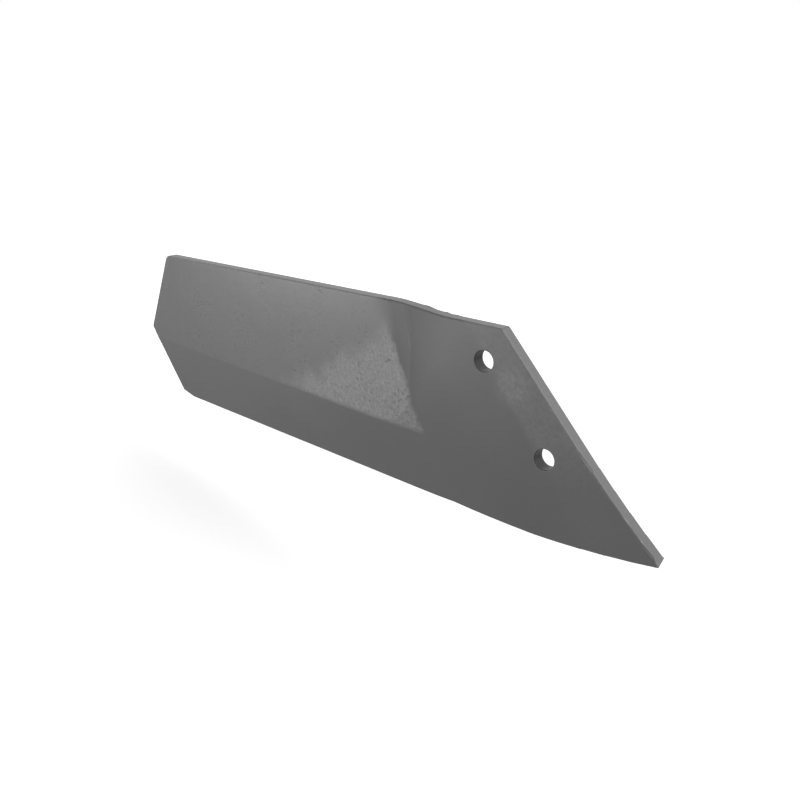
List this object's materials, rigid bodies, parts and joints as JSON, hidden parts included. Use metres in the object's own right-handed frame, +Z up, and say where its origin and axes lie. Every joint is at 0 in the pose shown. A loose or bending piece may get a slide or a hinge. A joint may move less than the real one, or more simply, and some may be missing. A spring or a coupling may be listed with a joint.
{
  "type": "cultivator side share",
  "caption": "Flat steel wing share with an oblique bend, a bevelled cutting edge and a bolt-on mounting end.",
  "frame": {"origin": "midway between the two bolt holes, on the seating face at the back of the mounting end", "axes": "+X along the top edge of the mounting end towards its tip, +Y out of the seating face towards the tool leg, +Z up in the plane of the mounting end"},
  "size_m": [0.5457, 0.0988, 0.1549],
  "materials": {
    "side_share": "semi-gloss grey paint over forged steel plate, with fine pits"
  },
  "bodies": {
    "root": {"side_share": "side_share"}
  },
  "joints": []
}
